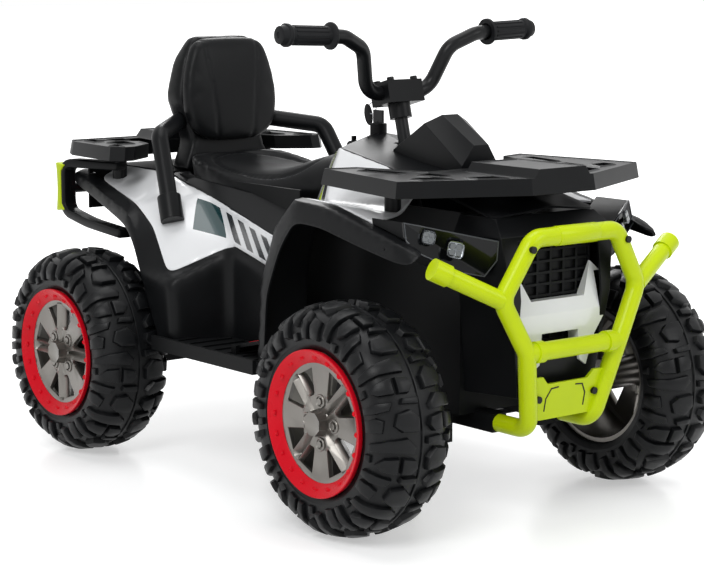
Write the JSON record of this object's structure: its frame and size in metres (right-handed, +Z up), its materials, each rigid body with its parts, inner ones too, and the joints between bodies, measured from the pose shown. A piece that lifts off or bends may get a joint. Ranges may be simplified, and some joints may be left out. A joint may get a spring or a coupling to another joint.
{
  "type": "kids quad bike",
  "caption": "Child's electric ride-on quad bike with knobbly tyres, handlebar steering, padded seat with backrest and grab rail, load racks, lamps and a tubular front bumper.",
  "frame": {"origin": "on the floor, under the middle of the vehicle's length and width", "axes": "+X forward, +Y to the rider's left, +Z up"},
  "size_m": [1.063, 0.6622, 0.7093],
  "materials": {
    "tyre": "moulded matte",
    "rim": "satin gunmetal",
    "bead_ring": "gloss red",
    "steel": "satin black",
    "bright_steel": "plated",
    "grip": "ribbed",
    "white_plastic": "gloss white",
    "black_plastic": "grained black",
    "lime_plastic": "gloss lime",
    "smoked_lens": "smoked clear",
    "red_lens": "red lens",
    "seat_cover": "stitched vinyl",
    "gear_plastic": "natural nylon",
    "battery_case": "dark grey"
  },
  "bodies": {
    "frame": {"side_panels": "white_plastic", "rear_fenders": "black_plastic", "front_fenders": "black_plastic", "front_panels": "white_plastic", "hood": "black_plastic", "front_fascia": "black_plastic", "grille": "black_plastic", "grille_trim": "white_plastic", "headlight_housings": "black_plastic", "headlight_lenses": "smoked_lens", "seat_base": "black_plastic", "dash_pod": "black_plastic", "ignition_switch": "black_plastic", "front_rack": "black_plastic", "rear_rack": "black_plastic", "rear_axle": "bright_steel", "gearbox_cases": "black_plastic", "drive_motors": "bright_steel", "battery": "battery_case", "seat": "seat_cover", "backrest": "black_plastic", "backrest_pad": "seat_cover", "grab_rail": "black_plastic", "front_bumper": "lime_plastic", "rear_bumper_frame": "black_plastic", "rear_bumper_trim": "lime_plastic", "tail_lights": "red_lens", "chassis": "black_plastic", "body_screws": "bright_steel"},
    "steering": {"steering_column": "steel", "handlebar": "steel", "clamp_base": "black_plastic", "clamp_cap": "black_plastic", "clamp_bolts": "bright_steel", "grip_left": "grip", "grip_right": "grip"},
    "left_knuckle": {"knuckle_left": "steel"},
    "right_knuckle": {"knuckle_right": "steel"},
    "rod": {"tie_rod": "steel"},
    "accelerator": {"accelerator_pedal": "black_plastic"},
    "key": {"ignition_key": "bright_steel"},
    "start": {"start_button": "red_lens"},
    "direction": {"direction_switch": "black_plastic"},
    "left_pinion": {"motor_pinion_left": "bright_steel"},
    "right_pinion": {"motor_pinion_right": "bright_steel"},
    "front_left_wheel": {"tyre_front_left": "tyre", "rim_front_left": "rim", "bead_ring_front_left": "bead_ring"},
    "front_right_wheel": {"tyre_front_right": "tyre", "rim_front_right": "rim", "bead_ring_front_right": "bead_ring"},
    "rear_left_wheel": {"tyre_rear_left": "tyre", "rim_rear_left": "rim", "bead_ring_rear_left": "bead_ring", "drive_gear_left": "gear_plastic"},
    "rear_right_wheel": {"tyre_rear_right": "tyre", "rim_rear_right": "rim", "bead_ring_rear_right": "bead_ring", "drive_gear_right": "gear_plastic"}
  },
  "joints": [
    {"name": "steering_turn", "type": "hinge", "parent": "frame", "child": "steering", "pos_m": [0.244, 0, 0.15], "axis": [-0.2504, 0, 0.9681], "range_deg": [-20, 20]},
    {"name": "left_kingpin", "type": "hinge", "parent": "frame", "child": "left_knuckle", "pos_m": [0.345, 0.165, 0.16585], "axis": [0, 0, 1], "range_deg": [-20.5, 20.5]},
    {"name": "right_kingpin", "type": "hinge", "parent": "frame", "child": "right_knuckle", "pos_m": [0.345, -0.165, 0.16585], "axis": [0, 0, 1], "range_deg": [-20.5, 20.5]},
    {"name": "rod_pivot", "type": "hinge", "parent": "right_knuckle", "child": "rod", "pos_m": [0.305, -0.165, 0.12655], "axis": [0, 0, 1], "range_deg": [-20.5, 20.5]},
    {"name": "front_left_spin", "type": "hinge", "parent": "left_knuckle", "child": "front_left_wheel", "pos_m": [0.345, 0.2655, 0.16585], "axis": [0, 1, 0], "continuous": true},
    {"name": "front_right_spin", "type": "hinge", "parent": "right_knuckle", "child": "front_right_wheel", "pos_m": [0.345, -0.2655, 0.16585], "axis": [0, 1, 0], "continuous": true},
    {"name": "rear_left_spin", "type": "hinge", "parent": "frame", "child": "rear_left_wheel", "pos_m": [-0.345, 0.2655, 0.16585], "axis": [0, 1, 0], "continuous": true},
    {"name": "rear_right_spin", "type": "hinge", "parent": "frame", "child": "rear_right_wheel", "pos_m": [-0.345, -0.2655, 0.16585], "axis": [0, 1, 0], "continuous": true},
    {"name": "left_pinion_spin", "type": "hinge", "parent": "frame", "child": "left_pinion", "pos_m": [-0.318, 0.2205, 0.19803], "axis": [0, 1, 0], "continuous": true},
    {"name": "right_pinion_spin", "type": "hinge", "parent": "frame", "child": "right_pinion", "pos_m": [-0.318, -0.2205, 0.19803], "axis": [0, 1, 0], "continuous": true},
    {"name": "accelerator_press", "type": "hinge", "parent": "frame", "child": "accelerator", "pos_m": [0.022, -0.2, 0.213], "axis": [0, 1, 0], "range_deg": [0, 8], "stiffness_Nm_per_rad": 0.5, "springref_deg": -11.46},
    {"name": "key_turn", "type": "hinge", "parent": "frame", "child": "key", "pos_m": [0.084, 0, 0.55], "axis": [0, 0, 1], "range_deg": [0, 90]},
    {"name": "start_press", "type": "slide", "parent": "frame", "child": "start", "axis": [0, 0, -1], "range_m": [0, 0.003], "stiffness_N_per_m": 300, "springref_m": -0.002},
    {"name": "direction_rock", "type": "hinge", "parent": "frame", "child": "direction", "pos_m": [0.066, -0.034, 0.5112], "axis": [0, 1, 0], "range_deg": [-12, 12]}
  ],
  "couplings": [
    {"joint": "left_kingpin", "follows": "steering_turn", "ratio": 1},
    {"joint": "right_kingpin", "follows": "steering_turn", "ratio": 1},
    {"joint": "rod_pivot", "follows": "steering_turn", "ratio": -1},
    {"joint": "left_pinion_spin", "follows": "rear_left_spin", "ratio": -2.5},
    {"joint": "right_pinion_spin", "follows": "rear_right_spin", "ratio": -2.5}
  ]
}
